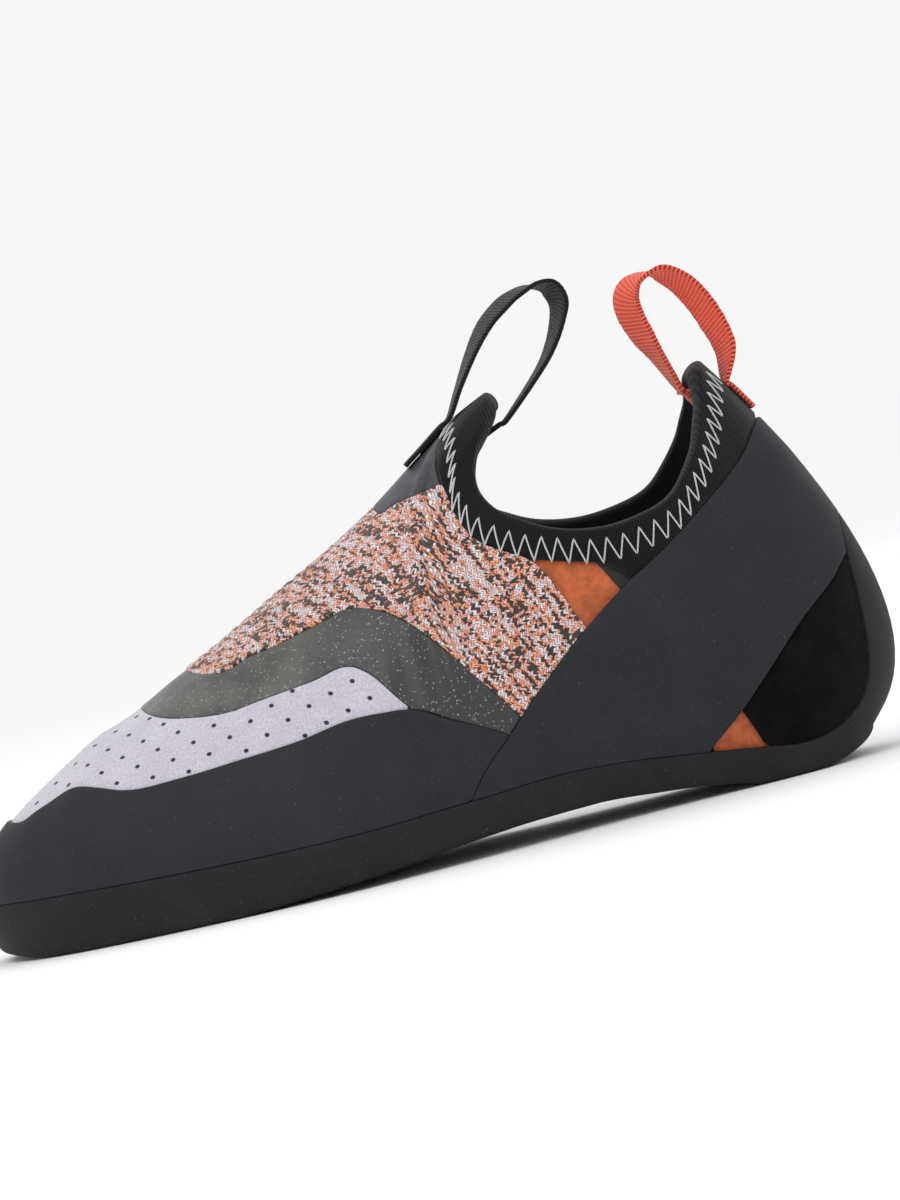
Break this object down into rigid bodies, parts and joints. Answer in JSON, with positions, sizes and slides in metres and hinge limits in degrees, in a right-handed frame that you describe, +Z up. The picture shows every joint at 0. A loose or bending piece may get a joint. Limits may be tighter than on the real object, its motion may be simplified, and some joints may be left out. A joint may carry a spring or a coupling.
{
  "type": "climbing shoe",
  "caption": "Low slip-on climbing shoe with a hooked heel cup, a rubber toe rand, a heel tension band and a webbing pull loop at each end of the collar.",
  "frame": {"origin": "on the floor, under the middle of the heel's flat spot", "axes": "+X to the heel, +Y to the big-toe (medial) side, +Z up"},
  "size_m": [0.2438, 0.093, 0.1368],
  "materials": {
    "sole_rubber": "moulded, matte black",
    "rand_rubber": "matte black, faintly marked",
    "orange_microfibre": "fine orange microfibre",
    "footbed_foam": "thin grey foam with a cloth face",
    "grey_microfibre": "light grey, punched with small holes",
    "dark_film": "dark film welded over fabric",
    "coral_knit": "multicolour knit, coral, lilac and black",
    "smooth_patch": "smooth dark welded patch",
    "black_suede": "black suede",
    "black_binding": "black cloth binding with a grey zigzag stitch",
    "black_webbing": "ribbed black webbing",
    "coral_webbing": "ribbed coral webbing, dark flecked edges"
  },
  "bodies": {
    "root": {"outsole": "sole_rubber", "upper": "orange_microfibre", "insole": "footbed_foam", "toe_rand": "rand_rubber", "tension_band": "rand_rubber", "toe_panel": "grey_microfibre", "vamp_overlay": "dark_film", "knit_panel": "coral_knit", "instep_patch": "smooth_patch", "heel_panel_lateral": "black_suede", "heel_panel_medial": "black_suede", "collar_binding": "black_binding", "front_pull_loop": "black_webbing", "rear_pull_loop": "coral_webbing"}
  },
  "joints": []
}
